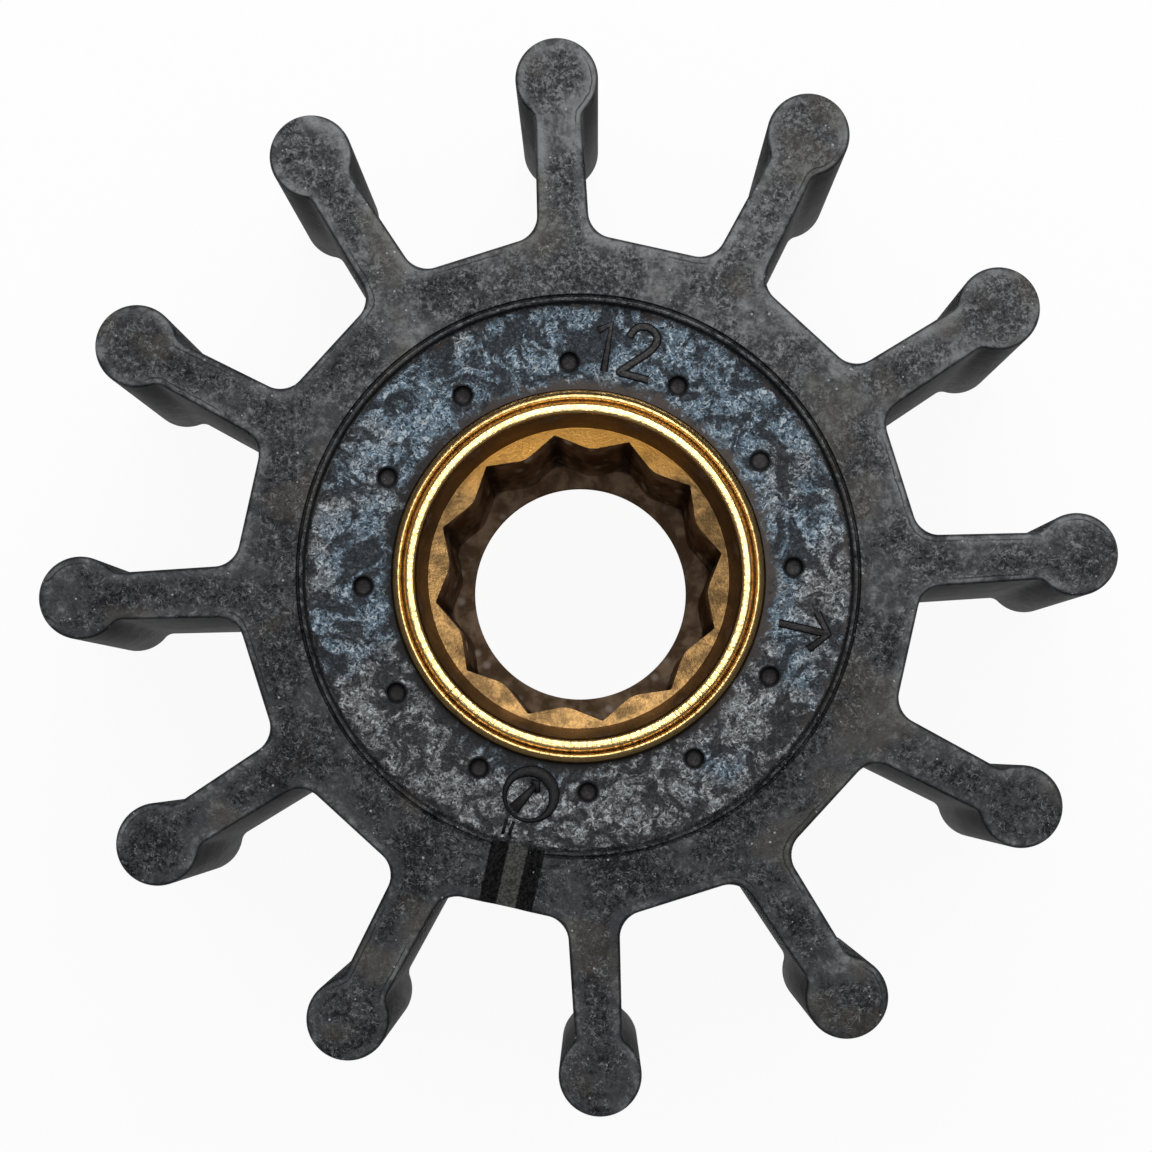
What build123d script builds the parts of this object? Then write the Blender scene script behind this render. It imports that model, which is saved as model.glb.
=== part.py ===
from build123d import *
from math import cos, radians, sin
import os

# A flexible pump impeller: a rubber hub and twelve rubber vanes moulded as one piece
# round a brass sleeve, which slides on the pump's twelve-point splined shaft.
# Millimetres and degrees. The axis of rotation is Z, the rear face lies on Z = 0
# and the front face, with the sleeve's beaded lip and the rim channel, looks up.

# Vanes, shared by every ring of twelve
vane_count = 12
vane_pitch = 360 / vane_count

# Brass sleeve, sized outwards from the splined shaft that it fits
spline_points = 12
spline_turn = 7.1  # first spline notch, counted from the vane on +X
spline_ridge_radius = 7.85  # sharp ridges, before they are rounded
spline_notch_depth = 0.97
spline_ridge_round = 1.5
spline_notch_round = 0.15
stop_thickness = 3.0  # ring at the rear end, where the shaft's splines come to rest
bore_radius = 7.1  # plain hole through that ring
shoulder_width = 0.33  # flat ledge between the notches and the counterbore wall
counterbore_flare = 0.6  # how much wider the counterbore is at its mouth
counterbore_depth = 4.0
inner_bead_width = 0.85
inner_bead_height = 0.42
outer_bead_width = 0.7
outer_bead_height = 0.25
bead_shoulder = 0.22  # run of the sloping sides of both beads
sleeve_setback = 0.5  # both sleeve ends lie this far inside the rubber's end faces
rear_chamfer = 0.5

spline_notch_radius = spline_ridge_radius + spline_notch_depth
counterbore_radius = spline_notch_radius + shoulder_width
mouth_radius = counterbore_radius + counterbore_flare
bead_valley_radius = mouth_radius + inner_bead_width
sleeve_radius = bead_valley_radius + outer_bead_width

# Rubber hub, sized outwards from the sleeve
body_length = 50.0
recess_width = 5.3  # from the sleeve to the recess wall
recess_depth = 1.2
recess_rim_chamfer = 0.25
rim_width = 3.75  # from the recess wall to the flats between the vanes
pip_distance = 1.7  # from the sleeve to the middle of the pips
pip_radius = 0.6
pip_depth = 1.0
short_pip_depth = 0.35
short_pip_vane = 1  # the pip under this vane was moulded short

recess_radius = sleeve_radius + recess_width
hub_apothem = recess_radius + rim_width
pip_circle_radius = sleeve_radius + pip_distance

# Channel across the front rim: its floor runs on from the recess floor
channel_gap = 8  # it leaves between this vane and the next
channel_width = 3.3
channel_slope_width = 1.05  # each sloping side, seen from above
channel_floor_round = 0.3
channel_angle = (channel_gap + 0.5) * vane_pitch

# Vanes: blades that taper a little from the hub to a round bulb
vane_reach = 12.15  # from the flats of the hub to the tips
vane_root_width = 3.15
vane_neck_width = 2.85
bulb_radius = 2.5
root_fillet = 1.5
neck_fillet = 0.8
face_edge_chamfer = 0.3

tip_radius = hub_apothem + vane_reach
bulb_circle_radius = tip_radius - bulb_radius

# Levels along the axis
front_recess_floor = body_length - recess_depth
sleeve_rear = sleeve_setback
bead_crest = body_length - sleeve_setback
bead_base = bead_crest - inner_bead_height
counterbore_floor = bead_crest - counterbore_depth
spline_end = sleeve_rear + stop_thickness

# One vane in plan, lying along +X: blade and bulb, blended where they meet.
with BuildSketch() as vane_outline:
    Polygon(
        (hub_apothem, -vane_root_width / 2),
        (bulb_circle_radius, -vane_neck_width / 2),
        (bulb_circle_radius, vane_neck_width / 2),
        (hub_apothem, vane_root_width / 2),
        align=None,
    )
    with Locations((bulb_circle_radius, 0)):
        Circle(bulb_radius)
    fillet(vane_outline.vertices().group_by(Axis.X)[1], neck_fillet)

# Rubber hub and vanes: one moulding, extruded from its plan, then cut for the sleeve,
# the two end recesses, the mould pips and the channel.
with BuildPart() as rubber_body:
    with BuildSketch() as plan:
        RegularPolygon(hub_apothem, vane_count, major_radius=False)
        with PolarLocations(0, vane_count):
            add(vane_outline.sketch)
        fillet(plan.vertices().group_by(SortBy.DISTANCE)[0], root_fillet)
    extrude(amount=body_length)
    chamfer(rubber_body.faces().filter_by(Axis.Z).edges(), face_edge_chamfer)

    # Round recess in each end face
    with BuildSketch(Plane.XY, Plane.XY.offset(front_recess_floor)):
        Circle(recess_radius)
    extrude(amount=recess_depth, mode=Mode.SUBTRACT)
    recess_edges = rubber_body.edges().filter_by(GeomType.CIRCLE)
    recess_edges = recess_edges.filter_by(lambda edge: abs(edge.radius - recess_radius) < 0.001)
    chamfer(recess_edges.group_by(Axis.Z)[0] + recess_edges.group_by(Axis.Z)[-1], recess_rim_chamfer)

    # Bore that the sleeve is bonded into
    with BuildSketch():
        Circle(sleeve_radius)
    extrude(amount=body_length, mode=Mode.SUBTRACT)

    # Blind pips in the front recess, one under each vane, one of them moulded short
    with BuildSketch(Plane.XY.offset(front_recess_floor)):
        with PolarLocations(
            pip_circle_radius,
            vane_count - 1,
            start_angle=(short_pip_vane + 1) * vane_pitch,
            angular_range=360 - vane_pitch,
        ):
            Circle(pip_radius)
    extrude(amount=-pip_depth, mode=Mode.SUBTRACT)
    with BuildSketch(Plane.XY.offset(front_recess_floor)):
        with PolarLocations(pip_circle_radius, 1, start_angle=short_pip_vane * vane_pitch):
            Circle(pip_radius)
    extrude(amount=-short_pip_depth, mode=Mode.SUBTRACT)

    # Channel, cut outwards through the rim and out of the flat
    across = Vector(-sin(radians(channel_angle)), cos(radians(channel_angle)), 0)
    outwards = Vector(cos(radians(channel_angle)), sin(radians(channel_angle)), 0)
    channel_start = outwards * sleeve_radius + Vector(0, 0, front_recess_floor)
    channel_floor_width = channel_width - 2 * channel_slope_width
    with BuildSketch(Plane(channel_start, x_dir=across, z_dir=outwards)) as channel_section:
        Polygon(
            (-channel_floor_width / 2, 0),
            (channel_floor_width / 2, 0),
            (channel_width / 2, recess_depth),
            (-channel_width / 2, recess_depth),
            align=None,
        )
        fillet(channel_section.vertices().group_by(Axis.Y)[0], channel_floor_round)
    extrude(amount=tip_radius - sleeve_radius, mode=Mode.SUBTRACT)

# Brass sleeve: turned, with a double bead round its mouth, a flared counterbore and,
# below a narrow ledge, the twelve-point spline, which ends at the stop ring.
with BuildPart() as brass_sleeve:
    with BuildSketch(Plane.XZ):
        with BuildLine():
            Polyline(
                (0, sleeve_rear),
                (sleeve_radius, sleeve_rear),
                (sleeve_radius, bead_base),
                (sleeve_radius - bead_shoulder, bead_base + outer_bead_height),
                (bead_valley_radius + bead_shoulder, bead_base + outer_bead_height),
                (bead_valley_radius, bead_base),
                (bead_valley_radius - bead_shoulder, bead_crest),
                (mouth_radius + bead_shoulder, bead_crest),
                (mouth_radius, bead_base),
                (counterbore_radius, counterbore_floor),
                (0, counterbore_floor),
                close=True,
            )
        make_face()
    revolve(axis=Axis.Z)

    # Spline: a star of sharp notches between soft ridges
    with BuildSketch(Plane.XY.offset(spline_end)) as spline_section:
        with BuildLine():
            star_turn = radians(180 / spline_points)
            star_start = radians(spline_turn)
            star_radii = [spline_notch_radius, spline_ridge_radius] * spline_points
            Polyline(
                *[
                    (radius * cos(star_start + i * star_turn), radius * sin(star_start + i * star_turn))
                    for i, radius in enumerate(star_radii)
                ],
                close=True,
            )
        make_face()
        fillet(spline_section.vertices().group_by(SortBy.DISTANCE)[0], spline_ridge_round)
        fillet(spline_section.vertices().group_by(SortBy.DISTANCE)[-1], spline_notch_round)
    extrude(amount=counterbore_floor - spline_end, mode=Mode.SUBTRACT)

    # Plain hole through the stop ring, and the chamfers of the rear end, inside and out
    with BuildSketch(Plane.XY.offset(sleeve_rear)):
        Circle(bore_radius)
    extrude(amount=stop_thickness, mode=Mode.SUBTRACT)
    chamfer(brass_sleeve.edges().filter_by(GeomType.CIRCLE).group_by(Axis.Z)[0], rear_chamfer)

rubber_body.part.label = "rubber_body"
brass_sleeve.part.label = "brass_sleeve"

os.makedirs("parts", exist_ok=True)
export_step(rubber_body.part, "parts/rubber_body.step")
export_step(brass_sleeve.part, "parts/brass_sleeve.step")
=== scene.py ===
import math

import bmesh
import bpy
from mathutils import Matrix, Vector


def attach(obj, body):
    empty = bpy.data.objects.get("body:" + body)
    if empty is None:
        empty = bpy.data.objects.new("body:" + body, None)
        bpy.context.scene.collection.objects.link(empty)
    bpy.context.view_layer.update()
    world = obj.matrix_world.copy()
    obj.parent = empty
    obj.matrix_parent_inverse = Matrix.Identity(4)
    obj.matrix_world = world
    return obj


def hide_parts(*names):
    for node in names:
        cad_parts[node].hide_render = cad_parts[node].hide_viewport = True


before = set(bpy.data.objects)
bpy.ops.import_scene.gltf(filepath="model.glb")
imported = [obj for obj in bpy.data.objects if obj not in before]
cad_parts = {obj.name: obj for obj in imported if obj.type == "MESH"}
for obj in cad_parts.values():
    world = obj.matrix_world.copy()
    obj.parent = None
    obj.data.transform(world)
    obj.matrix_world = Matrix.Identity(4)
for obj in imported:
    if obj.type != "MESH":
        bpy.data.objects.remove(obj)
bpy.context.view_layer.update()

# ---------------------------------------------------------------------------
# Camera: looks down on the beaded end of the impeller, from a little below its
# axis, so that more of the upper wall of the bore shows than of the lower one.
# ---------------------------------------------------------------------------
camera_data = bpy.data.cameras.new("camera")
camera_data.lens = 207.875
camera_data.sensor_width = 36.0
camera_data.clip_start = 0.01
camera = bpy.data.objects.new("camera", camera_data)
camera.location = (0.0006738, -0.0101921, 0.4498696)
camera.rotation_euler = (math.radians(1.45534), math.radians(0.18082), math.radians(-2.4992))
bpy.context.scene.collection.objects.link(camera)
bpy.context.scene.camera = camera
bpy.context.scene.view_settings.view_transform = "Standard"

# ---------------------------------------------------------------------------
# Rubber moulding: the hub and its twelve vanes, of nitrile rubber, moulded in one
# shot round the brass sleeve. The mould halves meet half way up the vanes, and a
# loose core makes the recess in each end.
# ---------------------------------------------------------------------------
MM = 0.001
VANES = 12
PITCH = math.radians(360 / VANES)
BODY_LENGTH = 50.0
SLEEVE_RADIUS = 11.3
RECESS_RADIUS = 16.6
RECESS_DEPTH = 1.2
FRONT_FLOOR = BODY_LENGTH - RECESS_DEPTH
HUB_APOTHEM = 20.35
TIP_RADIUS = 32.5
BULB_RADIUS = 2.5
BULB_CENTRE = TIP_RADIUS - BULB_RADIUS
ROOT_HALF = 3.15 / 2
NECK_HALF = 2.85 / 2
ROOT_FILLET = 1.5
NECK_FILLET = 0.8

# inward run and rise of each step of the soft edge round both faces
FACE_EDGE = ((0.03, 0.10), (0.06, 0.08), (0.11, 0.05), (0.18, 0.04), (0.27, 0.03))
FACE_EDGE_DROP = sum(rise for _, rise in FACE_EDGE)
WITNESS_DEPTH = 0.05
WITNESS_HALF = 0.07
CUTTER_RISE = 0.3


def moved(bm, geom, by=None, turn=None):
    """Moves what an operator returned by millimetres, then turns it about the axis."""
    verts = [part for part in geom if isinstance(part, bmesh.types.BMVert)]
    if by is not None:
        bmesh.ops.translate(bm, verts=verts, vec=[step * MM for step in by])
    if turn is not None:
        turning = Matrix.Rotation(turn, 3, "Z")
        bmesh.ops.rotate(bm, verts=verts, cent=(0, 0, 0), matrix=turning)


def swept(bm, vert, centre, turn, steps):
    """Draws an arc from a vertex and gives its last vertex."""
    made = bmesh.ops.spin(
        bm,
        geom=[vert],
        cent=(centre[0] * MM, centre[1] * MM, 0),
        axis=(0, 0, 1),
        angle=turn,
        steps=steps,
    )
    return [part for part in made["geom_last"] if isinstance(part, bmesh.types.BMVert)][0]


def point(bm, x, y, z=0.0):
    """A vertex given in millimetres."""
    return bm.verts.new((x * MM, y * MM, z * MM))


def turned_solid(bm, profile, steps):
    """A solid turned about the axis from (radius, height) points in millimetres."""
    verts = [point(bm, radius, 0, height) for radius, height in profile]
    edges = [bm.edges.new(pair) for pair in zip(verts, verts[1:])]
    bmesh.ops.spin(
        bm,
        geom=verts + edges,
        cent=(0, 0, 0),
        axis=(0, 0, 1),
        angle=math.tau,
        steps=steps,
        use_merge=True,
    )
    bmesh.ops.remove_doubles(bm, verts=bm.verts, dist=1e-7)
    bmesh.ops.recalc_face_normals(bm, faces=bm.faces)


def new_piece(name, bm):
    """Makes an object of a finished bmesh."""
    mesh = bpy.data.meshes.new(name)
    bm.to_mesh(mesh)
    bm.free()
    piece = bpy.data.objects.new(name, mesh)
    bpy.context.scene.collection.objects.link(piece)
    return piece


def cut_away(piece, cutters, edge_round):
    """Cuts the cutters out of a piece, softens the cut edges and keeps the result."""
    for cutter in cutters:
        cut = piece.modifiers.new(cutter.name, "BOOLEAN")
        cut.operation = "DIFFERENCE"
        cut.solver = "EXACT"
        cut.object = cutter
    soften = piece.modifiers.new("edges", "BEVEL")
    soften.width = edge_round * MM
    soften.segments = 2
    soften.limit_method = "ANGLE"
    soften.angle_limit = math.radians(42)
    soften.use_clamp_overlap = True
    soften.harden_normals = False
    weigh = piece.modifiers.new("normals", "WEIGHTED_NORMAL")
    weigh.keep_sharp = True
    weigh.weight = 50
    bpy.context.view_layer.update()
    depsgraph = bpy.context.evaluated_depsgraph_get()
    piece.data.shade_smooth()
    depsgraph.update()
    finished = bpy.data.meshes.new_from_object(piece.evaluated_get(depsgraph))
    piece.modifiers.clear()
    piece.data = finished
    for cutter in cutters:
        bpy.data.objects.remove(cutter)


# Half of one vane in plan, from the middle of a hub flat out to the tip
bm = bmesh.new()
flat_half_angle = PITCH / 2
root_x = (HUB_APOTHEM - ROOT_HALF * math.sin(flat_half_angle)) / math.cos(flat_half_angle)
side_slope = (ROOT_HALF - NECK_HALF) / (BULB_CENTRE - HUB_APOTHEM)
root_y = ROOT_HALF - (root_x - HUB_APOTHEM) * side_slope
fillet_y = NECK_HALF + NECK_FILLET
fillet_x = BULB_CENTRE - math.sqrt((BULB_RADIUS + NECK_FILLET) ** 2 - fillet_y**2)
neck_angle = math.atan2(fillet_y, BULB_CENTRE - fillet_x)

flat_middle = point(
    bm, HUB_APOTHEM * math.cos(flat_half_angle), HUB_APOTHEM * math.sin(flat_half_angle)
)
root = point(bm, root_x, root_y)
neck = point(bm, fillet_x, NECK_HALF)
bm.edges.new((flat_middle, root))
bm.edges.new((root, neck))
bulb_start = swept(bm, neck, (fillet_x, fillet_y), math.pi / 2 - neck_angle, 8)
swept(bm, bulb_start, (BULB_CENTRE, 0), neck_angle - math.pi, 26)
bmesh.ops.mirror(
    bm, geom=bm.verts[:] + bm.edges[:], matrix=Matrix.Identity(4), merge_dist=1e-6, axis="Y"
)
bmesh.ops.remove_doubles(bm, verts=bm.verts, dist=1e-6)
bmesh.ops.spin(
    bm,
    geom=bm.verts[:] + bm.edges[:],
    cent=(0, 0, 0),
    axis=(0, 0, 1),
    angle=math.tau - PITCH,
    steps=VANES - 1,
    use_duplicate=True,
)
bmesh.ops.remove_doubles(bm, verts=bm.verts, dist=1e-6)
bmesh.ops.contextual_create(bm, geom=bm.edges[:])

# Round the roots of the vanes
root_radius = math.hypot(root_x, root_y) * MM
root_corners = [vert for vert in bm.verts if abs(vert.co.xy.length - root_radius) < 1e-6]
bmesh.ops.bevel(
    bm,
    geom=root_corners,
    offset=ROOT_FILLET / math.tan((math.pi / 2 + flat_half_angle) / 2) * MM,
    segments=9,
    profile=0.5,
    affect="VERTICES",
    material=-1,
)

# Raise the plan to the length of the body and give both faces their soft edge
moved(bm, bm.verts[:], by=(0, 0, FACE_EDGE_DROP))
raised = bmesh.ops.extrude_face_region(bm, geom=bm.faces[:])["geom"]
moved(bm, raised, by=(0, 0, BODY_LENGTH - 2 * FACE_EDGE_DROP))
bmesh.ops.recalc_face_normals(bm, faces=bm.faces)
end_faces = sorted(bm.faces, key=lambda face: len(face.verts))[-2:]
for end_face in end_faces:
    for run, rise in FACE_EDGE + ((0.03, 0.0),):
        bmesh.ops.inset_region(
            bm,
            faces=[end_face],
            thickness=run * MM,
            depth=rise * MM,
            use_even_offset=True,
            use_boundary=True,
        )

for vert in bm.verts:
    vert.co.z = min(max(vert.co.z, 0), BODY_LENGTH * MM)

# Witness line where the mould halves met
for level in (-WITNESS_HALF, 0, WITNESS_HALF):
    bmesh.ops.bisect_plane(
        bm,
        geom=bm.verts[:] + bm.edges[:] + bm.faces[:],
        plane_co=(0, 0, (BODY_LENGTH / 2 + level) * MM),
        plane_no=(0, 0, 1),
    )
bm.normal_update()
middle = [vert for vert in bm.verts if abs(vert.co.z - BODY_LENGTH / 2 * MM) < 1e-6]
for vert in middle:
    vert.co -= vert.normal * WITNESS_DEPTH * MM
rubber = new_piece("rubber_moulding", bm)

# Cores that leave the recess in each end: a hollow corner at the floor, a rounded lip
# at the top of the wall, and outside it the fine line where the core sat in the mould
core_profile = [(0, 0)]
core_profile += [
    (RECESS_RADIUS + out, up)
    for out, up in (
        (-0.42, 0.0),
        (-0.26, 0.05),
        (-0.13, 0.16),
        (-0.04, 0.34),
        (0.0, 0.60),
        (0.0, 0.96),
        (0.03, 1.08),
        (0.08, 1.15),
        (0.14, 1.18),
        (0.20, 1.17),
        (0.25, 1.02),
        (0.31, 0.96),
        (0.37, 1.04),
        (0.42, 1.19),
        (0.44, RECESS_DEPTH + CUTTER_RISE),
    )
]
core_profile.append((0, RECESS_DEPTH + CUTTER_RISE))
bm = bmesh.new()
turned_solid(bm, [(radius, FRONT_FLOOR + height) for radius, height in core_profile], 240)
front_core = new_piece("front_core", bm)
bm = bmesh.new()
turned_solid(bm, [(radius, RECESS_DEPTH - height) for radius, height in core_profile], 240)
rear_core = new_piece("rear_core", bm)

# The sleeve's place
bm = bmesh.new()
turned_solid(
    bm, ((0, -1), (SLEEVE_RADIUS, -1), (SLEEVE_RADIUS, BODY_LENGTH + 1), (0, BODY_LENGTH + 1)), 120
)
sleeve_place = new_piece("sleeve_place", bm)

# Blind pips, one under each vane, one of them moulded short
PIP_CIRCLE = SLEEVE_RADIUS + 1.7
PIP_RADIUS = 0.6
PIP_DEPTH = 1.0
SHORT_PIP = 1
SHORT_PIP_DEPTH = 0.35
PIP_CUTTER_RISE = 0.4
bm = bmesh.new()
for vane in range(VANES):
    pip_depth = SHORT_PIP_DEPTH if vane == SHORT_PIP else PIP_DEPTH
    made = bmesh.ops.create_cone(
        bm,
        cap_ends=True,
        segments=28,
        radius1=(PIP_RADIUS - 0.05) * MM,
        radius2=PIP_RADIUS * MM,
        depth=(pip_depth + PIP_CUTTER_RISE) * MM,
    )["verts"]
    moved(
        bm,
        made,
        by=(PIP_CIRCLE, 0, FRONT_FLOOR + (PIP_CUTTER_RISE - pip_depth) / 2),
        turn=vane * PITCH,
    )
pips = new_piece("pips", bm)

# Channel across the front rim
CHANNEL_ANGLE = 8.5 * PITCH
CHANNEL_HALF = 3.3 / 2
CHANNEL_SLOPE = 1.05
CHANNEL_LIFT = 0.004
CHANNEL_FLOOR_HALF = CHANNEL_HALF - CHANNEL_SLOPE
bm = bmesh.new()
channel_start = SLEEVE_RADIUS + 2.2
section = [
    point(bm, channel_start, across, FRONT_FLOOR + height)
    for across, height in (
        (-CHANNEL_FLOOR_HALF, CHANNEL_LIFT),
        (CHANNEL_FLOOR_HALF, CHANNEL_LIFT),
        (CHANNEL_HALF, RECESS_DEPTH),
        (CHANNEL_HALF, RECESS_DEPTH + 0.5),
        (-CHANNEL_HALF, RECESS_DEPTH + 0.5),
        (-CHANNEL_HALF, RECESS_DEPTH),
    )
]
bm.faces.new(section)
run = bmesh.ops.extrude_face_region(bm, geom=bm.faces[:])["geom"]
moved(bm, run, by=(TIP_RADIUS - channel_start, 0, 0))
bmesh.ops.recalc_face_normals(bm, faces=bm.faces)
moved(bm, bm.verts[:], turn=CHANNEL_ANGLE)
channel = new_piece("channel", bm)

cut_away(rubber, [front_core, rear_core, sleeve_place, pips, channel], edge_round=0.03)


def add_node(tree, kind, inputs=None, **settings):
    """Adds a shader node with its settings, its values and its links."""
    node = tree.nodes.new(kind)
    for name, value in settings.items():
        setattr(node, name, value)
    for name, value in (inputs or {}).items():
        if isinstance(value, bpy.types.NodeSocket):
            tree.links.new(value, node.inputs[name])
        else:
            node.inputs[name].default_value = value
    return node


def calc(tree, operation, *values):
    """One step of arithmetic on a pattern."""
    return add_node(tree, "ShaderNodeMath", dict(enumerate(values)), operation=operation).outputs[0]


def times(tree, first, second):
    """The product of two patterns."""
    return calc(tree, "MULTIPLY", first, second)


def plus(tree, first, second):
    """The sum of two patterns."""
    return calc(tree, "ADD", first, second)


def minus(tree, first, second):
    """One pattern less another."""
    return calc(tree, "SUBTRACT", first, second)


def between(tree, value, low, high, out_low=0.0, out_high=1.0):
    """Carries a value smoothly from one range to another."""
    return add_node(
        tree,
        "ShaderNodeMapRange",
        {"Value": value, "From Min": low, "From Max": high, "To Min": out_low, "To Max": out_high},
        interpolation_type="SMOOTHSTEP",
    ).outputs["Result"]


def between_plain(tree, value, low, high, out_low, out_high):
    """Carries a value evenly from one range to another, clamped at both ends."""
    return add_node(
        tree,
        "ShaderNodeMapRange",
        {"Value": value, "From Min": low, "From Max": high, "To Min": out_low, "To Max": out_high},
    ).outputs["Result"]


def grain(tree, place, scale, detail=2.0, rough=0.5, distortion=0.0):
    """A noise pattern with a number of features to the millimetre."""
    return add_node(
        tree,
        "ShaderNodeTexNoise",
        {
            "Vector": place,
            "Scale": scale,
            "Detail": detail,
            "Roughness": rough,
            "Distortion": distortion,
        },
    ).outputs["Fac"]


def tinted(tree, amount, under, over):
    """Lays one colour over another by an amount."""
    mix = add_node(tree, "ShaderNodeMix", data_type="RGBA")
    for socket, value in ((0, amount), (6, under), (7, over)):
        if isinstance(value, bpy.types.NodeSocket):
            tree.links.new(value, mix.inputs[socket])
        else:
            mix.inputs[socket].default_value = value
    return mix.outputs[2]


def in_plan(tree, x, y):
    """A vector in the plane across the axis."""
    return add_node(tree, "ShaderNodeCombineXYZ", {"X": x, "Y": y}).outputs[0]


def vector_length(tree, vector):
    """The length of a vector."""
    return add_node(tree, "ShaderNodeVectorMath", {0: vector}, operation="LENGTH").outputs["Value"]


def distance_from(tree, vector, x):
    """The distance of a vector from a point on the X axis."""
    inputs = {0: vector, 1: (x, 0, 0)}
    return add_node(tree, "ShaderNodeVectorMath", inputs, operation="DISTANCE").outputs["Value"]


def bumped(tree, shader, height, strength, depth):
    """Raises the shader's surface by a pattern, up to a depth in millimetres."""
    inputs = {"Height": height, "Strength": strength, "Distance": depth * MM}
    bump = add_node(tree, "ShaderNodeBump", inputs)
    tree.links.new(bump.outputs["Normal"], shader.inputs["Normal"])


def new_material(name):
    """An empty node material with its shader, and the place of each point in millimetres."""
    material = bpy.data.materials.new(name)
    material.use_nodes = True
    tree = material.node_tree
    tree.nodes.clear()
    shader = add_node(tree, "ShaderNodeBsdfPrincipled")
    output = add_node(tree, "ShaderNodeOutputMaterial")
    tree.links.new(shader.outputs["BSDF"], output.inputs["Surface"])
    object_place = add_node(tree, "ShaderNodeTexCoord").outputs["Object"]
    place = add_node(
        tree, "ShaderNodeMapping", {"Vector": object_place, "Scale": (1000, 1000, 1000)}
    ).outputs["Vector"]
    return material, tree, shader, place


# Rubber: charcoal and matt. The faces are mottled and flecked, with a smooth paler band inside a
# dark outline of painted shade, and painted light makes them lighter towards the top of the view;
# the sides are darker, with faint streaks along the axis.
# Colours here and below are linear red, green and blue.
SOOT = (0.004, 0.004, 0.005, 1)
CHARCOAL = (0.042, 0.043, 0.047, 1)
ASH = (0.190, 0.194, 0.195, 1)
WARM_GREY = (0.080, 0.073, 0.058, 1)
CURL_GREY = (0.20, 0.205, 0.205, 1)
OUTLINE_SHADE_AND_FLASH_BLACK = (0.006, 0.006, 0.007, 1)
CORE_GROOVE_SHADE_BLACK = (0.005, 0.005, 0.006, 1)
SIDE_DARK = (0.011, 0.011, 0.012, 1)
SIDE_PALE = (0.032, 0.032, 0.034, 1)
RUBBED_DARK = (0.030, 0.030, 0.032, 1)
RUBBED_PALE = (0.085, 0.085, 0.087, 1)
CHANNEL_DARK = (0.018, 0.018, 0.018, 1)
CHANNEL_PALE = (0.062, 0.062, 0.058, 1)
SLOPE_SHADE_DARK = (0.001, 0.001, 0.001, 1)
SLOPE_SHADE_PALE = (0.013, 0.013, 0.014, 1)
SPECK_WHITE = (0.36, 0.37, 0.38, 1)
PIP_BROWN = (0.034, 0.029, 0.028, 1)
PIP_RIM_SHADE_BLACK = (0.003, 0.003, 0.004, 1)
RECESS_WALL_SHADE_BLACK = (0.008, 0.008, 0.009, 1)
BESIDE_SHADED_DARK = (0.015, 0.014, 0.014, 1)
BESIDE_LIT_BROWN = (0.064, 0.052, 0.045, 1)
BARE_DARK = (0.003, 0.004, 0.005, 1)
BARE_PALE = (0.026, 0.028, 0.032, 1)
BLOOM_GREY = (0.265, 0.275, 0.280, 1)
BLOOM_BLUE = (0.188, 0.266, 0.335, 1)
GLINT_WHITE = (0.46, 0.49, 0.50, 1)
BLOOM_CURL = (0.38, 0.41, 0.42, 1)
CORE_LINE_RADIUS = RECESS_RADIUS + 0.32

# distances from each face between which its finish fades into that of the sides
EDGE_FADE_START = 0.45
EDGE_FADE_END = 0.10

rubber_finish, tree, shader, place = new_material("moulded_rubber")
split = add_node(tree, "ShaderNodeSeparateXYZ", {"Vector": place})
across, up, height = split.outputs["X"], split.outputs["Y"], split.outputs["Z"]
radius = vector_length(tree, in_plan(tree, across, up))

# how far inside the outline of the faces a point lies, from the plan of one vane
bearing = calc(tree, "ARCTAN2", up, across)
off_vane = calc(tree, "ABSOLUTE", calc(tree, "PINGPONG", plus(tree, bearing, math.tau), PITCH / 2))
along = times(tree, radius, calc(tree, "COSINE", off_vane))
aside = times(tree, radius, calc(tree, "SINE", off_vane))
in_stem = minus(tree, between_plain(tree, along, root_x, fillet_x, root_y, NECK_HALF), aside)
vane_place = in_plan(tree, along, aside)
from_bulb = distance_from(tree, vane_place, BULB_CENTRE)
in_bulb = minus(tree, BULB_RADIUS, from_bulb)
in_hub = minus(
    tree,
    HUB_APOTHEM,
    plus(tree, times(tree, along, math.cos(PITCH / 2)), times(tree, aside, math.sin(PITCH / 2))),
)
edge_distance = calc(
    tree, "SMOOTH_MAX", calc(tree, "SMOOTH_MAX", in_stem, in_hub, 1.9), in_bulb, 0.7
)

# distance from the middle of the channel, and how far a point lies along it
channel_middle = calc(
    tree,
    "ABSOLUTE",
    minus(
        tree, times(tree, up, math.cos(CHANNEL_ANGLE)), times(tree, across, math.sin(CHANNEL_ANGLE))
    ),
)
channel_run = plus(
    tree, times(tree, across, math.cos(CHANNEL_ANGLE)), times(tree, up, math.sin(CHANNEL_ANGLE))
)
in_channel = times(
    tree,
    times(
        tree,
        between(tree, channel_run, RECESS_RADIUS - 0.10, RECESS_RADIUS + 0.02),
        between(tree, channel_middle, CHANNEL_HALF + 0.01, CHANNEL_HALF - 0.03),
    ),
    between(tree, height, BODY_LENGTH - 0.015, BODY_LENGTH - 0.05),
)
front_end = between(tree, height, BODY_LENGTH - 10.0, BODY_LENGTH - 5.0)
in_channel = times(tree, in_channel, front_end)
slope_shade_mask = times(
    tree,
    in_channel,
    between(tree, channel_middle, CHANNEL_FLOOR_HALF - 0.10, CHANNEL_FLOOR_HALF + 0.06),
)

# patterns from broad clouds down to fine grain
cloud = grain(tree, place, 0.24, 4, 0.6)
mottle = grain(tree, place, 1.1, 4, 0.65, 0.5)
mottle_swing = minus(tree, mottle, 0.5)
fibre = grain(tree, place, 3.6, 3, 0.65, 0.9)
fine = grain(tree, place, 6.0, 2, 0.6)

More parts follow.
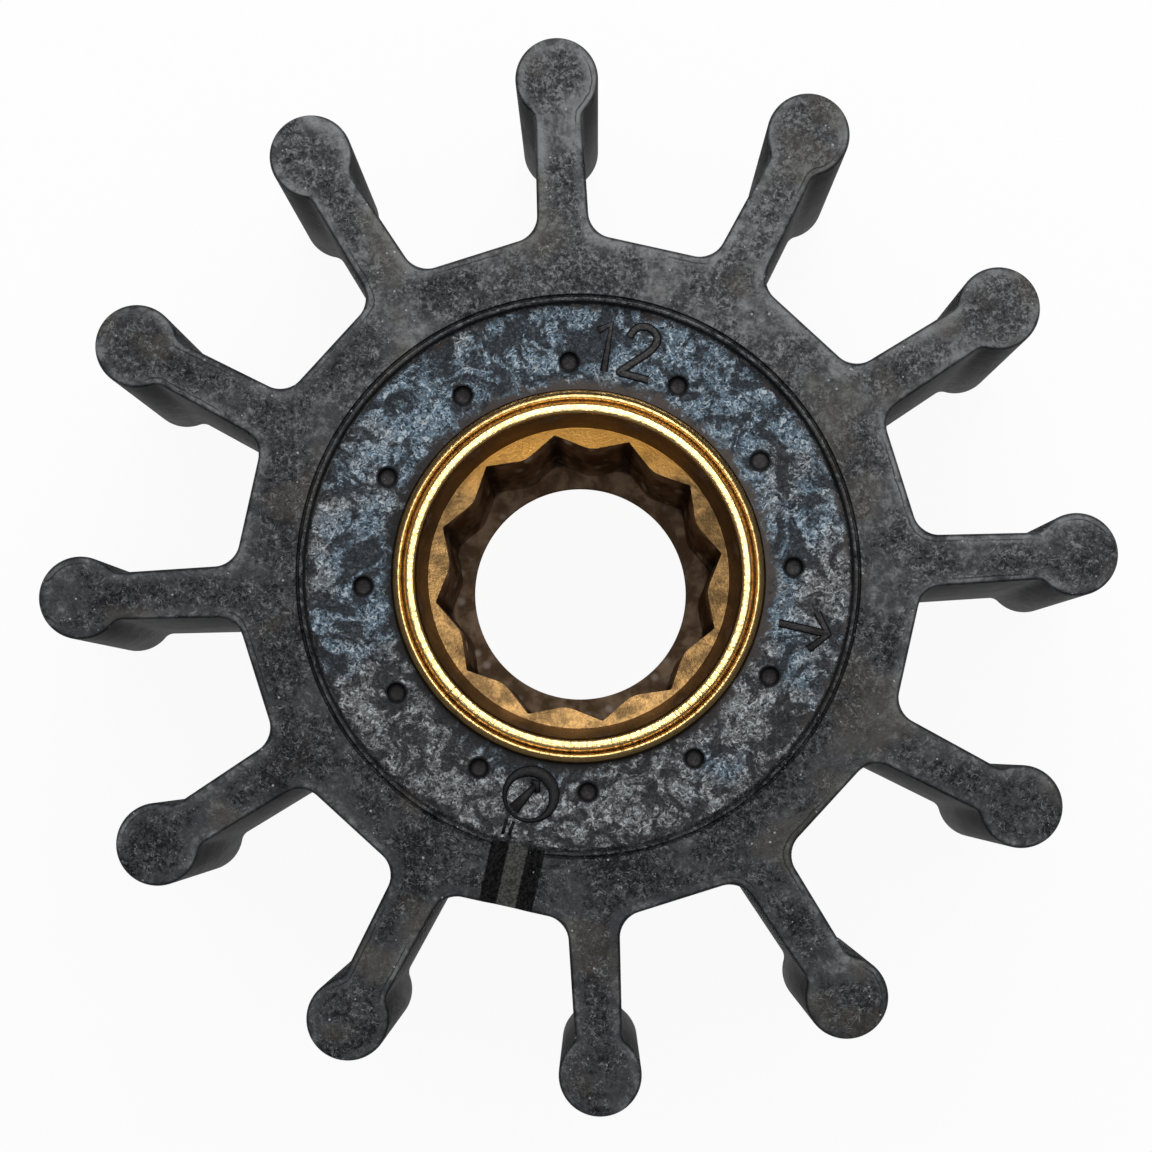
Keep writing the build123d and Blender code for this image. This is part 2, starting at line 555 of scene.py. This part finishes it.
# curled fibres, small bright specks
curl = calc(tree, "ABSOLUTE", minus(tree, grain(tree, place, 2.3, 0.6, 0.5, 1.3), 0.5))
curl = times(
    tree, between(tree, curl, 0.036, 0.010), between(tree, grain(tree, place, 1.7, 2), 0.49, 0.56)
)
speck_cells = add_node(
    tree, "ShaderNodeTexVoronoi", {"Vector": place, "Scale": 1.7, "Randomness": 1.0}
)
speck_size = between(tree, speck_cells.outputs["Color"], 0.35, 1.0, 0.0, 0.15)
speck = between(tree, minus(tree, speck_cells.outputs["Distance"], speck_size), 0.03, -0.03)

on_face = calc(
    tree,
    "MAXIMUM",
    between(tree, height, BODY_LENGTH - EDGE_FADE_START, BODY_LENGTH - EDGE_FADE_END),
    between(tree, height, EDGE_FADE_START, EDGE_FADE_END),
)

# tone of the faces: a smooth band along the outline and smooth patches, rugged elsewhere
worn_edge = plus(tree, edge_distance, times(tree, mottle_swing, 1.6))
worn_edge_line = plus(tree, edge_distance, times(tree, mottle_swing, 0.25))
smooth_band = times(tree, on_face, between(tree, worn_edge, 0.85, 0.35))
smooth_patch = calc(
    tree, "MAXIMUM", smooth_band, times(tree, on_face, between(tree, cloud, 0.50, 0.60))
)
rugged = minus(tree, 1.0, smooth_patch)
tone = plus(tree, times(tree, minus(tree, cloud, 0.5), 1.5), times(tree, mottle_swing, 1.7))
grain_tone = plus(
    tree, times(tree, minus(tree, fibre, 0.5), 2.6), times(tree, minus(tree, fine, 0.5), 1.0)
)
tone = plus(tree, tone, times(tree, between_plain(tree, rugged, 0, 1, 0.3, 1.0), grain_tone))
tone = plus(tree, tone, times(tree, smooth_band, 0.30))
# painted light: the faces lighter towards the top of the view and a little towards the right
painted_light_slant = plus(tree, up, times(tree, across, 0.3))
tone = plus(tree, tone, between(tree, painted_light_slant, -16.0, 30.0, -0.12, 0.22))
colour = tinted(tree, between(tree, tone, -0.60, 0.20), SOOT, CHARCOAL)
colour = tinted(tree, between(tree, tone, 0.04, 0.85), colour, ASH)
warm = times(tree, between(tree, grain(tree, place, 0.16, 2), 0.52, 0.62), 0.35)
colour = tinted(tree, warm, colour, WARM_GREY)
curl_share = times(tree, times(tree, curl, rugged), between(tree, mottle, 0.30, 0.50, 0.15, 0.60))
colour = tinted(tree, curl_share, colour, CURL_GREY)

# lines: a trace of flash inside the outline; the outline, painted dark as the shade on the steep
# rounded edge of the faces; the core's fine groove, painted dark as the shade in it
flash_line = between(tree, calc(tree, "ABSOLUTE", minus(tree, worn_edge_line, 0.40)), 0.07, 0.02)
flash_line = times(tree, flash_line, between(tree, grain(tree, place, 0.10, 1), 0.53, 0.58))
flash_line = times(tree, flash_line, on_face)
colour = tinted(tree, times(tree, flash_line, 0.7), colour, OUTLINE_SHADE_AND_FLASH_BLACK)
outline_shade = times(tree, on_face, between(tree, edge_distance, 0.20, 0.08))
colour = tinted(tree, times(tree, outline_shade, 0.75), colour, OUTLINE_SHADE_AND_FLASH_BLACK)
core_groove_shade = times(
    tree,
    between(tree, calc(tree, "ABSOLUTE", minus(tree, radius, CORE_LINE_RADIUS)), 0.14, 0.07),
    on_face,
)
# how strongly shade is painted on the core's groove and the recess wall: less towards the bottom of
# the view
shade_share_towards_top = between(tree, plus(tree, up, times(tree, mottle, 8.0)), -10.0, -3.0, 0.35, 0.88)
colour = tinted(tree, times(tree, core_groove_shade, shade_share_towards_top), colour, CORE_GROOVE_SHADE_BLACK)

# sides: streaked along the axis, rubbed paler at the tips of the vanes
side = times(
    tree, between(tree, radius, RECESS_RADIUS + 0.6, RECESS_RADIUS + 0.7), minus(tree, 1.0, on_face)
)
drawn_place = add_node(
    tree, "ShaderNodeMapping", {"Vector": place, "Scale": (1.0, 1.0, 0.06)}
).outputs["Vector"]
flow = grain(tree, drawn_place, 0.9, 4, 0.6)
side_tone = plus(tree, times(tree, flow, 0.5), times(tree, mottle, 0.5))
side_colour = tinted(tree, between(tree, side_tone, 0.38, 0.62), SIDE_DARK, SIDE_PALE)
colour = tinted(tree, times(tree, side, 0.88), colour, side_colour)
rubbed = times(tree, side, between(tree, radius, TIP_RADIUS - 0.55, TIP_RADIUS - 0.05))
rubbed_tone = tinted(tree, between(tree, flow, 0.40, 0.62), RUBBED_DARK, RUBBED_PALE)
colour = tinted(tree, times(tree, rubbed, 0.7), colour, rubbed_tone)

# channel: grey in the middle; its slopes painted black as their shade
streak = between(tree, plus(tree, fibre, times(tree, fine, 0.8)), 0.74, 1.06)
colour = tinted(tree, in_channel, colour, tinted(tree, streak, CHANNEL_DARK, CHANNEL_PALE))
slope_shade_tone = tinted(tree, streak, SLOPE_SHADE_DARK, SLOPE_SHADE_PALE)
colour = tinted(tree, times(tree, slope_shade_mask, 0.95), colour, slope_shade_tone)
colour = tinted(tree, times(tree, speck, 0.75), colour, SPECK_WHITE)

# Inside of the pips: dark, faintly brown. Wall of the recess: painted near black as its shade, less
# so towards the bottom of the view
in_recess = between(tree, radius, RECESS_RADIUS + 0.05, RECESS_RADIUS - 0.02)
sunk = times(tree, in_recess, between(tree, height, FRONT_FLOOR - 0.08, FRONT_FLOOR - 0.16))
colour = tinted(tree, times(tree, sunk, 0.7), colour, PIP_BROWN)
recess_wall_shade = times(
    tree,
    between(tree, radius, RECESS_RADIUS - 0.22, RECESS_RADIUS - 0.08),
    times(tree, in_recess, between(tree, height, FRONT_FLOOR + 1.12, FRONT_FLOOR + 0.9)),
)
colour = tinted(tree, times(tree, recess_wall_shade, shade_share_towards_top), colour, RECESS_WALL_SHADE_BLACK)

# Bloom on the recess floor: fine flakes of wax in drifts, thin beside the sleeve and
# the wall, and absent in the pips and the channel
on_floor = times(
    tree,
    between(tree, height, FRONT_FLOOR - 0.10, FRONT_FLOOR - 0.02),
    between(tree, height, FRONT_FLOOR + 0.12, FRONT_FLOOR + 0.04),
)
on_floor = times(tree, on_floor, between(tree, radius, RECESS_RADIUS + 0.1, RECESS_RADIUS - 0.1))
ragged = plus(tree, radius, times(tree, mottle_swing, 2.4))
inside = times(
    tree,
    between(tree, ragged, SLEEVE_RADIUS + 0.1, SLEEVE_RADIUS + 0.9),
    between(tree, ragged, RECESS_RADIUS + 0.1, RECESS_RADIUS - 0.6),
)
# bare rubber beside the sleeve and the wall; painted light makes it dark towards the lower left and
# brown-grey towards the upper right
beside_painted_light = between(tree, plus(tree, up, across), -8.0, 14.0)
beside_painted_light = tinted(tree, beside_painted_light, BESIDE_SHADED_DARK, BESIDE_LIT_BROWN)
bare = tinted(tree, inside, beside_painted_light, tinted(tree, fibre, BARE_DARK, BARE_PALE))
colour = tinted(tree, on_floor, colour, bare)
drift = between(tree, grain(tree, place, 0.46, 5, 0.64, 1.2), 0.43, 0.55)
broad = plus(tree, grain(tree, place, 0.22, 2, 0.5), times(tree, up, 0.010))
flake = grain(tree, place, 3.7, 2.2, 0.62, 1.1)
cover = times(tree, times(tree, on_floor, inside), between_plain(tree, drift, 0, 1, 0.08, 1.0))
# painted light: more bloom towards the top of the view, so the floor reads lighter there
cover = times(tree, cover, between_plain(tree, up, -12.0, 8.0, 0.80, 1.08))
hue = tinted(tree, between(tree, broad, 0.42, 0.58), BLOOM_GREY, BLOOM_BLUE)
veil = times(tree, cover, between(tree, fibre, 0.36, 0.62, 0.02, 0.52))
colour = tinted(tree, veil, colour, hue)
frost = times(tree, cover, between(tree, flake, 0.475, 0.59))
colour = tinted(tree, times(tree, frost, 0.82), colour, hue)
glint = times(tree, frost, between(tree, flake, 0.57, 0.66))
colour = tinted(tree, times(tree, glint, 0.85), colour, GLINT_WHITE)
floor_curl = times(tree, curl, times(tree, cover, 0.75))
colour = tinted(tree, floor_curl, colour, BLOOM_CURL)

# Painted shade in the wall and round the rim of each pip
from_pip = distance_from(tree, vane_place, PIP_CIRCLE)
pip_rim_shade = times(
    tree,
    between(tree, from_pip, PIP_RADIUS - 0.27, PIP_RADIUS - 0.12),
    between(tree, from_pip, PIP_RADIUS + 0.16, PIP_RADIUS + 0.04),
)
pip_rim_shade = times(tree, pip_rim_shade, front_end)
colour = tinted(tree, times(tree, pip_rim_shade, 0.9), colour, PIP_RIM_SHADE_BLACK)
tree.links.new(colour, shader.inputs["Base Color"])

# Gloss and relief
rough = between(tree, mottle, 0.3, 0.7, 0.52, 0.68)
rough = minus(tree, rough, times(tree, smooth_patch, 0.10))
rough = plus(tree, rough, times(tree, cover, 0.20))
rough = minus(tree, rough, times(tree, rubbed, 0.12))
tree.links.new(rough, shader.inputs["Roughness"])
shader.inputs["Specular IOR Level"].default_value = 0.11

relief = plus(tree, times(tree, fibre, 1.1), times(tree, fine, 0.35))
relief = plus(tree, relief, times(tree, speck, 0.5))
bumped(tree, shader, relief, strength=0.8, depth=0.08)

rubber.data.materials.clear()
rubber.data.materials.append(rubber_finish)
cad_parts["rubber_body"].data.materials.clear()
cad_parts["rubber_body"].data.materials.append(rubber_finish)
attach(rubber, "root")
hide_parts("rubber_body")

# ---------------------------------------------------------------------------
# Brass sleeve: turned from bar, with two beads rolled round its mouth and a flared
# counterbore inside them. Twelve notches run down the bore below it, to a ring that
# the splines of the shaft come to rest on.
# ---------------------------------------------------------------------------
SLEEVE_REAR = 0.5
MOUTH_CREST = BODY_LENGTH - 0.5
BEAD_BASE = MOUTH_CREST - 0.42
COUNTERBORE_FLOOR = MOUTH_CREST - 4.0
COUNTERBORE_RADIUS = 9.15
MOUTH_RADIUS = 9.75
BEAD_VALLEY = 10.6
NOTCH_RADIUS = 8.82
RIDGE_RADIUS = 7.85
BORE_RADIUS = 7.1
SPLINE_END = SLEEVE_REAR + 3.0
FIRST_NOTCH = math.radians(7.1)

sleeve_profile = [
    (0, SLEEVE_REAR),
    (SLEEVE_RADIUS - 0.5, SLEEVE_REAR),
    (SLEEVE_RADIUS, SLEEVE_REAR + 0.5),
    (SLEEVE_RADIUS, BEAD_BASE - 0.02),
]
# outer bead: a lower, rounder crest with a small step outside it
sleeve_profile += [
    (SLEEVE_RADIUS - inward, BEAD_BASE + up)
    for inward, up in (
        (0.02, 0.03),
        (0.06, 0.06),
        (0.11, 0.075),
        (0.16, 0.09),
        (0.21, 0.13),
        (0.26, 0.175),
        (0.31, 0.21),
        (0.36, 0.235),
        (0.41, 0.248),
        (0.46, 0.25),
        (0.51, 0.235),
        (0.56, 0.19),
        (0.61, 0.11),
        (0.66, 0.03),
        (0.69, 0.0),
    )
]
# inner bead: a broad, flattened crest with steep sides
for step in range(-9, 10):
    share = math.sin(math.pi / 2 * step / 9)
    sleeve_profile.append(
        (
            (MOUTH_RADIUS + BEAD_VALLEY) / 2 - (BEAD_VALLEY - MOUTH_RADIUS) / 2 * share,
            BEAD_BASE + (MOUTH_CREST - BEAD_BASE) * (1 - share**4),
        )
    )
sleeve_profile += [(COUNTERBORE_RADIUS, COUNTERBORE_FLOOR), (0, COUNTERBORE_FLOOR)]
bm = bmesh.new()
turned_solid(bm, sleeve_profile, 216)
sleeve = new_piece("splined_sleeve", bm)

# Broach: a star of twelve sharp points, its hollows rounded
bm = bmesh.new()
star = bmesh.ops.create_circle(bm, cap_ends=True, segments=24, radius=NOTCH_RADIUS * MM)["verts"]
moved(bm, star, by=(0, 0, SPLINE_END))
star_start = star[0].co.xy.angle_signed(Vector((1, 0)))
hollows = star[1::2]
bmesh.ops.scale(
    bm, verts=hollows, vec=(RIDGE_RADIUS / NOTCH_RADIUS, RIDGE_RADIUS / NOTCH_RADIUS, 1)
)
points = star[0::2]
bmesh.ops.rotate(
    bm, verts=star, cent=(0, 0, 0), matrix=Matrix.Rotation(FIRST_NOTCH - star_start, 3, "Z")
)
bmesh.ops.bevel(
    bm, geom=hollows, offset=0.446 * MM, segments=5, profile=0.5, affect="VERTICES", material=-1
)
bmesh.ops.bevel(
    bm, geom=points, offset=0.08 * MM, segments=2, profile=0.5, affect="VERTICES", material=-1
)
run = bmesh.ops.extrude_face_region(bm, geom=bm.faces[:])["geom"]
moved(bm, run, by=(0, 0, COUNTERBORE_FLOOR + 0.5 - SPLINE_END))
bmesh.ops.recalc_face_normals(bm, faces=bm.faces)
broach = new_piece("broach", bm)

bm = bmesh.new()
turned_solid(
    bm,
    (
        (0, SLEEVE_REAR - 1.5),
        (BORE_RADIUS + 2.0, SLEEVE_REAR - 1.5),
        (BORE_RADIUS + 0.5, SLEEVE_REAR),
        (BORE_RADIUS, SLEEVE_REAR + 0.5),
        (BORE_RADIUS, SPLINE_END + 0.2),
        (0, SPLINE_END + 0.2),
    ),
    144,
)
bore = new_piece("bore", bm)
cut_away(sleeve, [broach, bore], edge_round=0.05)

# Brass: bright on the inner bead, duller on the outer one, tarnished brown between
# them and on the wall of the counterbore; the step outside them is painted near black as shade
BRIGHT_BRASS = (0.80, 0.56, 0.24, 1)
DULL_BRASS = (0.50, 0.30, 0.10, 1)
BROWNED_BRASS = (0.40, 0.24, 0.09, 1)
OUTER_BEAD_BROWN = (0.26, 0.155, 0.058, 1)
STEP_SHADE_BROWN = (0.026, 0.012, 0.004, 1)
VALLEY_BROWN = (0.07, 0.038, 0.016, 1)
LEDGE_DARK = (0.120, 0.072, 0.030, 1)
LEDGE_PALE = (0.34, 0.20, 0.075, 1)
LEDGE_FLECK = (0.07, 0.04, 0.018, 1)
LEDGE_HIGHLIGHT_GOLD = (0.62, 0.31, 0.065, 1)
MOUTH_WALL_DARK = (0.20, 0.104, 0.043, 1)
MOUTH_WALL_PALE = (0.32, 0.180, 0.080, 1)

brass_finish, tree, shader, place = new_material("turned_brass")
split = add_node(tree, "ShaderNodeSeparateXYZ", {"Vector": place})
height = split.outputs["Z"]
flat_place = in_plan(tree, split.outputs["X"], split.outputs["Y"])
radius = vector_length(tree, flat_place)
bearing = add_node(
    tree, "ShaderNodeVectorMath", {0: flat_place}, operation="NORMALIZE"
).outputs["Vector"]
bearing_up = add_node(tree, "ShaderNodeSeparateXYZ", {"Vector": bearing}).outputs["Y"]

blotch = grain(tree, place, 0.8, 4, 0.6, 0.4)
fleck = grain(tree, place, 5.5, 4, 0.65)
chatter = grain(tree, bearing, 30.0, 3, 0.6)
on_ledge = between(tree, height, COUNTERBORE_FLOOR + 0.12, COUNTERBORE_FLOOR + 0.04)
on_wall = times(
    tree,
    between(tree, radius, MOUTH_RADIUS + 0.06, MOUTH_RADIUS - 0.01),
    minus(tree, 1.0, on_ledge),
)
outer = between(tree, radius, BEAD_VALLEY + 0.02, BEAD_VALLEY + 0.15)
valley = times(
    tree,
    between(tree, calc(tree, "ABSOLUTE", minus(tree, radius, BEAD_VALLEY)), 0.16, 0.03),
    between(tree, height, BEAD_BASE + 0.12, BEAD_BASE + 0.04),
)
colour = tinted(tree, between(tree, fleck, 0.40, 0.72), BRIGHT_BRASS, DULL_BRASS)
colour = tinted(tree, between(tree, blotch, 0.55, 0.75), colour, BROWNED_BRASS)
colour = tinted(tree, times(tree, outer, 0.50), colour, OUTER_BEAD_BROWN)
# painted shade where the brass meets the rubber: the step outside the beads near black
outer_step_shade = between(
    tree, plus(tree, radius, times(tree, blotch, 0.08)), SLEEVE_RADIUS - 0.17, SLEEVE_RADIUS - 0.05
)
outer_step_shade = times(tree, outer_step_shade, between(tree, height, BEAD_BASE - 1.0, BEAD_BASE - 0.5))
colour = tinted(tree, times(tree, outer_step_shade, 0.95), colour, STEP_SHADE_BROWN)
colour = tinted(tree, times(tree, valley, 0.85), colour, VALLEY_BROWN)

# ledge: blotched, with a painted highlight that turns it golden towards its upper side
ledge_tone = between(tree, blotch, 0.36, 0.64)
ledge_colour = tinted(tree, ledge_tone, LEDGE_DARK, LEDGE_PALE)
ledge_colour = tinted(
    tree, times(tree, between(tree, fleck, 0.50, 0.72), 0.5), ledge_colour, LEDGE_FLECK
)
in_mouth = between(tree, height, COUNTERBORE_FLOOR - 0.5, COUNTERBORE_FLOOR - 0.3)
# painted highlight on the upper side of the ledge
upper = between(tree, plus(tree, split.outputs["Y"], times(tree, blotch, 3.0)), 6.5, 9.5)
upper = times(tree, times(tree, upper, in_mouth), 0.75)
ledge_colour = tinted(tree, upper, ledge_colour, LEDGE_HIGHLIGHT_GOLD)
colour = tinted(tree, on_ledge, colour, ledge_colour)
wall_colour = tinted(tree, between(tree, blotch, 0.4, 0.7), MOUTH_WALL_DARK, MOUTH_WALL_PALE)
colour = tinted(tree, times(tree, on_wall, 0.94), colour, wall_colour)
tree.links.new(colour, shader.inputs["Base Color"])
shader.inputs["Metallic"].default_value = 1.0
rough = between(tree, fleck, 0.3, 0.7, 0.13, 0.24)
rough = plus(tree, rough, times(tree, on_ledge, 0.26))
rough = plus(tree, rough, times(tree, on_wall, 0.25))
tree.links.new(rough, shader.inputs["Roughness"])
cut_rings = times(tree, calc(tree, "SINE", times(tree, radius, 70.0)), 0.04)
relief = plus(tree, cut_rings, times(tree, fleck, 1.1))
chatter_depth = between(tree, plus(tree, bearing_up, times(tree, blotch, 0.3)), 0.1, -0.7, 0.6, 3.0)
chatter_depth = times(tree, chatter_depth, minus(tree, 1.0, on_ledge))
relief = plus(tree, relief, times(tree, chatter, chatter_depth))
bumped(tree, shader, relief, strength=0.6, depth=0.05)

# Tarnish in the splined bore and on the stop ring: brown and dull, drawn out
# along the bore as the broach left it, with pale spots painted on as soft highlights
BORE_DARK = (0.18, 0.106, 0.057, 1)
BORE_PALE = (0.40, 0.255, 0.150, 1)
RING_DARK = (0.22, 0.140, 0.083, 1)
RING_PALE = (0.52, 0.37, 0.25, 1)
SPOT_HIGHLIGHT_PALE = (0.80, 0.68, 0.58, 1)
BORE_FLECK = (0.05, 0.033, 0.022, 1)
NOTCH_SHADE_BROWN = (0.020, 0.013, 0.009, 1)
DEEP_FADE = 30.0

tarnish, tree, shader, place = new_material("tarnished_bore")
split = add_node(tree, "ShaderNodeSeparateXYZ", {"Vector": place})
height = split.outputs["Z"]
flat_place = in_plan(tree, split.outputs["X"], split.outputs["Y"])
radius = vector_length(tree, flat_place)
drawn = add_node(
    tree, "ShaderNodeMapping", {"Vector": place, "Scale": (1, 1, 0.10)}
).outputs["Vector"]
blotch = grain(tree, drawn, 0.7, 3, 0.55, 0.3)
fleck = grain(tree, drawn, 3.0, 4, 0.6)
highlight_spot_cells = add_node(
    tree, "ShaderNodeTexVoronoi", {"Vector": drawn, "Scale": 0.9, "Randomness": 1.0}
)
spot = times(
    tree,
    between(tree, highlight_spot_cells.outputs["Distance"], 0.38, 0.12),
    between(tree, highlight_spot_cells.outputs["Color"], 0.40, 0.65),
)
depth_tone = between(tree, height, SPLINE_END + DEEP_FADE, SPLINE_END)
colour = tinted(tree, between(tree, blotch, 0.38, 0.64), BORE_DARK, BORE_PALE)
ring_colour = tinted(tree, between(tree, blotch, 0.38, 0.64), RING_DARK, RING_PALE)
colour = tinted(tree, depth_tone, colour, ring_colour)
colour = tinted(tree, times(tree, spot, 0.8), colour, SPOT_HIGHLIGHT_PALE)
colour = tinted(tree, times(tree, between(tree, fleck, 0.55, 0.75), 0.4), colour, BORE_FLECK)
# painted shade down the notches of the splines
notch_shade = times(tree, between(tree, radius, NOTCH_RADIUS - 0.36, NOTCH_RADIUS - 0.12), 0.72)
colour = tinted(tree, notch_shade, colour, NOTCH_SHADE_BROWN)
tree.links.new(colour, shader.inputs["Base Color"])
shader.inputs["Metallic"].default_value = 0.0
shader.inputs["Specular IOR Level"].default_value = 0.0
tree.links.new(between(tree, fleck, 0.3, 0.7, 0.70, 0.90), shader.inputs["Roughness"])
bumped(tree, shader, fleck, strength=0.5, depth=0.06)

sleeve.data.materials.clear()
sleeve.data.materials.append(brass_finish)
sleeve.data.materials.append(tarnish)
for face in sleeve.data.polygons:
    in_bore = math.hypot(face.center.x, face.center.y) < NOTCH_RADIUS * MM
    face.material_index = int(
        in_bore and SLEEVE_REAR + 0.6 < face.center.z / MM < COUNTERBORE_FLOOR - 0.05
    )
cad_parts["brass_sleeve"].data.materials.clear()
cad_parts["brass_sleeve"].data.materials.append(brass_finish)
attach(sleeve, "root")
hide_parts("brass_sleeve")

# ---------------------------------------------------------------------------
# Raised marks on the floor of the front recess, moulded with the rubber: the number
# of vanes, a plain arrow, a date ring and two short ribs. Their tops carry no bloom.
# ---------------------------------------------------------------------------
MARK_HALF_WIDTH = 0.25
MARK_HEIGHT = 0.2
MARK_CIRCLE = 13.95
RING_CIRCLE = 13.55
RING_RADIUS = 1.50
RIB_CIRCLE = 15.7
RIB_WEIGHT = 0.4
MARK_DARK = (0.020, 0.019, 0.019, 1)
MARK_PALE = (0.062, 0.058, 0.057, 1)
MARK_SHADE = (0.006, 0.006, 0.006, 1)
MARK_FOOT_SHADE = (0.003, 0.003, 0.004, 1)

mark_finish, tree, shader, place = new_material("moulded_marks")
split = add_node(tree, "ShaderNodeSeparateXYZ", {"Vector": place})
height = split.outputs["Z"]
fine = grain(tree, place, 5.0, 3, 0.7)
# painted shade: the sides and foot of each rib near black, below their tops
top = between(tree, height, FRONT_FLOOR + 0.12, FRONT_FLOOR + 0.18)
colour = tinted(tree, between(tree, fine, 0.35, 0.65), MARK_DARK, MARK_PALE)
# painted shade: the marks darker towards the bottom of the view
lower = between(tree, split.outputs["Y"], 0, -8)
colour = tinted(tree, times(tree, lower, 0.75), colour, MARK_SHADE)
colour = tinted(tree, top, MARK_FOOT_SHADE, colour)
tree.links.new(colour, shader.inputs["Base Color"])
shader.inputs["Roughness"].default_value = 0.6
shader.inputs["Specular IOR Level"].default_value = 0.16
bumped(tree, shader, fine, strength=0.6, depth=0.05)


def raised_mark(name, strokes, turn, out=MARK_CIRCLE):
    """Ribs along strokes of (across, up) points in millimetres, upright at a turn in degrees."""
    line = bpy.data.curves.new(name, "CURVE")
    line.dimensions = "3D"
    line.bevel_depth = MARK_HALF_WIDTH * MM
    line.bevel_resolution = 5
    line.resolution_u = 10
    line.use_fill_caps = True
    for closed, smooth, points, *weights in strokes:
        spline = line.splines.new("NURBS" if smooth else "POLY")
        spline.points.add(len(points) - 1)
        for spot, (across, up) in zip(spline.points, points):
            spot.co = (across * MM, up * MM, 0, 1)
        for spot, weight in zip(spline.points, weights):
            spot.radius = weight
        spline.use_cyclic_u = closed
        if smooth:
            spline.order_u = 3
            spline.use_endpoint_u = not closed
    drawn = bpy.data.objects.new(name + "_line", line)
    bpy.context.scene.collection.objects.link(drawn)
    bpy.context.view_layer.update()
    bm = bmesh.new()
    bm.from_mesh(drawn.to_mesh())
    drawn.to_mesh_clear()
    bpy.data.objects.remove(drawn)
    bmesh.ops.scale(bm, verts=bm.verts, vec=(1, 1, MARK_HEIGHT / MARK_HALF_WIDTH))
    bmesh.ops.rotate(
        bm, verts=bm.verts, cent=(0, 0, 0), matrix=Matrix.Rotation(-math.pi / 2, 3, "Z")
    )
    moved(bm, bm.verts[:], by=(out, 0, FRONT_FLOOR), turn=math.radians(turn))
    bmesh.ops.remove_doubles(bm, verts=bm.verts, dist=1e-7)
    bmesh.ops.recalc_face_normals(bm, faces=bm.faces)
    mark = new_piece(name, bm)
    mark.data.shade_smooth()
    mark.data.materials.append(mark_finish)
    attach(mark, "root")


raised_mark("vane_count_tens", [(False, False, ((-0.62, 0.95), (0.12, 1.42), (0.0, -1.45)))], 80.5)
raised_mark(
    "vane_count_units",
    [
        (
            False,
            True,
            (
                (-0.80, 0.80),
                (-0.70, 1.50),
                (0.25, 1.75),
                (0.95, 1.20),
                (0.70, 0.35),
                (-0.20, -0.60),
                (-0.85, -1.40),
                (-0.85, -1.40),
                (0.95, -1.40),
            ),
        )
    ],
    72.3,
)
raised_mark(
    "index_arrow",
    [
        (False, False, ((0.0, -1.55), (0.0, 1.45))),
        (False, False, ((-1.15, 0.55), (0.0, 1.50), (1.15, 0.55))),
    ],
    -15.5,
)
ring_turns = [math.tau * step / 48 for step in range(48)]
raised_mark(
    "date_ring",
    [
        (
            True,
            False,
            [(RING_RADIUS * math.cos(turn), RING_RADIUS * math.sin(turn)) for turn in ring_turns],
            *[0.95 + 0.55 * math.cos(turn - 4.2) for turn in ring_turns],
        ),
        (False, False, ((0.75, 0.95), (-0.25, -0.75)), 1.5, 0.7),
        (False, False, ((0.10, -0.90), (-0.30, -0.85), (-0.45, -0.30)), 0.7, 0.9, 0.7),
    ],
    -105.1,
    RING_CIRCLE,
)
raised_mark(
    "rib_lines",
    [
        (False, False, ((-0.22, -0.45), (-0.16, 0.45)), RIB_WEIGHT, RIB_WEIGHT),
        (False, False, ((0.22, -0.45), (0.24, 0.45)), RIB_WEIGHT, RIB_WEIGHT),
    ],
    -108.1,
    RIB_CIRCLE,
)

# ---------------------------------------------------------------------------
# Floor: a plain pale sheet under the impeller. It reads as white to the camera
# and keeps the impeller's soft shadow.
# ---------------------------------------------------------------------------
FLOOR_HALF = 1.5
FLOOR_GAP = 0.05
SEEN_SHARE = 0.94
PAPER = (0.82, 0.82, 0.82, 1)
WHITE = (1, 1, 1, 1)

bm = bmesh.new()
bmesh.ops.create_grid(bm, x_segments=1, y_segments=1, size=FLOOR_HALF)
moved(bm, bm.verts[:], by=(0, 0, -FLOOR_GAP))
floor = new_piece("floor", bm)
floor_finish = bpy.data.materials.new("floor")
floor_finish.use_nodes = True
tree = floor_finish.node_tree
tree.nodes.clear()
paths = add_node(tree, "ShaderNodeLightPath")
seen = calc(
    tree,
    "MAXIMUM",
    paths.outputs["Is Camera Ray"],
    calc(tree, "MAXIMUM", paths.outputs["Is Glossy Ray"], paths.outputs["Is Transmission Ray"]),
)
paper = add_node(tree, "ShaderNodeBsdfDiffuse", {"Color": PAPER})
glow = add_node(tree, "ShaderNodeEmission", {"Color": WHITE, "Strength": 1.0})
mixed = add_node(
    tree,
    "ShaderNodeMixShader",
    {0: times(tree, seen, SEEN_SHARE), 1: paper.outputs[0], 2: glow.outputs[0]},
)
output = add_node(tree, "ShaderNodeOutputMaterial")
tree.links.new(mixed.outputs[0], output.inputs["Surface"])
floor.data.materials.append(floor_finish)

# ---------------------------------------------------------------------------
# Light: one broad lamp above the camera, a small weak one nearer the impeller on
# the upper side of the view, and a pale room all round.
# ---------------------------------------------------------------------------
LIT_POINT = Vector((0, 0, 0.03))
ROOM_TINT = (0.9, 0.93, 1.0, 1)
ROOM_STRENGTH = 0.22

for name, place, size, power in (
    ("key", (0.02, 0.08, 0.66), 0.40, 2.1), ("upper", (0.03, 0.15, 0.28), 0.12, 0.34)
):
    lamp_data = bpy.data.lights.new(name, "AREA")
    lamp_data.shape = "DISK"
    lamp_data.size = size
    lamp_data.energy = power
    lamp = bpy.data.objects.new(name, lamp_data)
    lamp.location = place
    lamp.rotation_euler = (Vector(place) - LIT_POINT).to_track_quat("Z", "Y").to_euler()
    bpy.context.scene.collection.objects.link(lamp)

world = bpy.data.worlds.new("room")
world.use_nodes = True
world.node_tree.nodes["Background"].inputs["Color"].default_value = ROOM_TINT
world.node_tree.nodes["Background"].inputs["Strength"].default_value = ROOM_STRENGTH
bpy.context.scene.world = world
